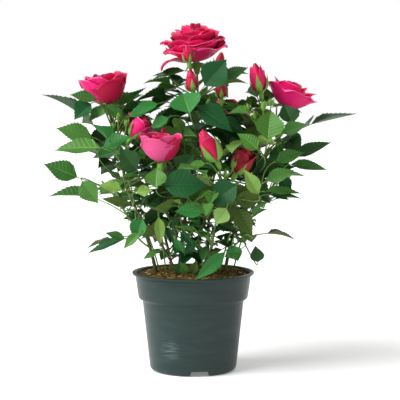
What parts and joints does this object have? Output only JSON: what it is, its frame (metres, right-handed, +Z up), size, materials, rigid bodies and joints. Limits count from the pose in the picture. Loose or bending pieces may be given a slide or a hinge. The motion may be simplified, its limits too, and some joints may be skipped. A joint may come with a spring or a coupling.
{
  "type": "potted rose bush",
  "caption": "Miniature rose bush with pink blooms and buds, growing from peat compost in a round tapered plastic pot.",
  "frame": {"origin": "centre of the pot's flat underside, where it stands", "axes": "+Z up, -Y the front, +X to the right as seen from the front"},
  "size_m": [0.3041, 0.2734, 0.3394],
  "materials": {
    "pot_plastic": "satin grey-green moulded plastic, lightly scuffed",
    "compost": "moist brown peat with pale chips",
    "bark": "olive-brown young bark with prickles",
    "foliage": "half-glossy green leaves",
    "petals": "soft deep pink petals"
  },
  "bodies": {
    "root": {"bough_bud_front": "bark", "bough_bud_left": "bark", "bough_bud_right": "bark", "bough_far": "bark", "bough_farleft": "bark", "bough_farright": "bark", "bough_front": "bark", "bough_left": "bark", "bough_lowfar": "bark", "bough_lowleft": "bark", "bough_lowright": "bark", "bough_middle": "bark", "bough_right": "bark", "bough_top": "bark", "cane_far": "bark", "cane_farleft": "bark", "cane_front": "bark", "cane_green": "bark", "cane_left": "bark", "cane_middle": "bark", "cane_right": "bark", "cane_thick": "bark", "compost": "compost", "leaves_bud_front": "foliage", "leaves_bud_left": "foliage", "leaves_bud_right": "foliage", "leaves_far": "foliage", "leaves_farleft": "foliage", "leaves_farright": "foliage", "leaves_front": "foliage", "leaves_left": "foliage", "leaves_lowfar": "foliage", "leaves_lowleft": "foliage", "leaves_lowright": "foliage", "leaves_middle": "foliage", "leaves_right": "foliage", "leaves_top": "foliage", "leaves_twig_far": "foliage", "leaves_twig_farleft": "foliage", "leaves_twig_front": "foliage", "leaves_twig_green": "foliage", "leaves_twig_left": "foliage", "leaves_twig_right": "foliage", "leaves_twig_thick": "foliage", "pot": "pot_plastic", "rose_bud_crown": "petals", "rose_bud_dark": "petals", "rose_bud_front": "petals", "rose_bud_left": "petals", "rose_bud_right": "petals", "rose_bud_side": "petals", "rose_bud_top": "petals", "rose_far": "petals", "rose_farleft": "petals", "rose_farright": "petals", "rose_front": "petals", "rose_left": "petals", "rose_right": "petals", "rose_top": "petals"}
  },
  "joints": []
}
